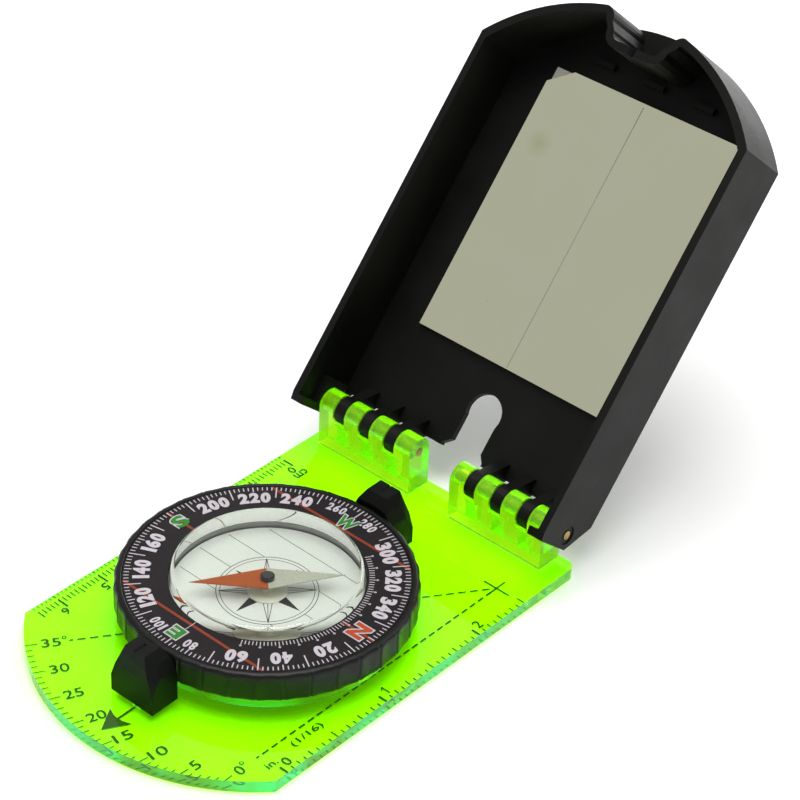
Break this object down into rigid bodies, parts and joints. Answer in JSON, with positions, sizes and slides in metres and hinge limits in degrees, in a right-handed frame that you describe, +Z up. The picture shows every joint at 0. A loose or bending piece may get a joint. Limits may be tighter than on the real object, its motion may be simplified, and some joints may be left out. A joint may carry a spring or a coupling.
{
  "type": "mirror sighting compass",
  "caption": "Folding sighting compass: clear green base plate, rotating bezel over a liquid-filled needle capsule, and a black hinged cover with a mirror and a sighting notch.",
  "frame": {"origin": "the point on the base plate's underside, on its centreline, straight below the hinge axis", "axes": "+Z up out of the base plate, +Y from the dial towards the hinge end, +X to the right when looking along +Y"},
  "size_m": [0.0641, 0.1594, 0.0867],
  "materials": {
    "green_acrylic": "clear fluorescent green acrylic, polished faces",
    "black_plastic": "moulded, satin",
    "screw_steel": "plated",
    "grip_plastic": "moulded, satin",
    "dial_print": "printed card, black with white, red and green figures",
    "clear_acrylic": "clear, polished",
    "seal_rubber": "soft rubber",
    "grey_plastic": "moulded, satin",
    "white_plastic": "moulded, satin",
    "pin_steel": "ground",
    "needle_paint": "painted sheet, orange-red on one half and pale on the other",
    "brass": "turned",
    "jewel": "polished",
    "cap_plastic": "moulded",
    "cover_plastic": "moulded, fine grain, satin",
    "mirror_glass": "silvered glass",
    "backing_tape": "pale double-sided tape"
  },
  "bodies": {
    "base": {"base_plate": "green_acrylic", "front_clip": "black_plastic", "rear_clip": "black_plastic", "front_clip_screw": "screw_steel", "rear_clip_screw": "screw_steel"},
    "cover": {"cover_shell": "cover_plastic", "mirror": "mirror_glass", "mirror_tape": "backing_tape", "hinge_pin_left": "brass", "hinge_pin_right": "brass"},
    "bezel": {"bezel_ring": "grip_plastic", "dial_card": "dial_print"},
    "capsule": {"capsule_cup": "clear_acrylic", "capsule_floor": "clear_acrylic", "capsule_seal": "seal_rubber", "capsule_ring": "grey_plastic", "filler_plug": "white_plastic", "pivot_base": "white_plastic", "pivot_pin": "pin_steel"},
    "needle": {"needle_blade": "needle_paint", "needle_hub": "brass", "needle_jewel": "jewel", "needle_cap": "cap_plastic"}
  },
  "joints": [
    {"name": "cover_hinge", "type": "hinge", "parent": "base", "child": "cover", "pos_m": [0, 0, 0.0113], "axis": [-1, 0, 0], "range_deg": [-131, 49]},
    {"name": "bezel_turn", "type": "hinge", "parent": "base", "child": "bezel", "pos_m": [0, -0.0477, 0.0089], "axis": [0, 0, 1], "continuous": true},
    {"name": "declination_turn", "type": "hinge", "parent": "bezel", "child": "capsule", "pos_m": [0, -0.0477, 0.0089], "axis": [0, 0, 1], "range_deg": [-50, 50]},
    {"name": "needle_swing", "type": "hinge", "parent": "capsule", "child": "needle", "pos_m": [0, -0.0477, 0.008], "axis": [0, 0, 1], "continuous": true}
  ]
}
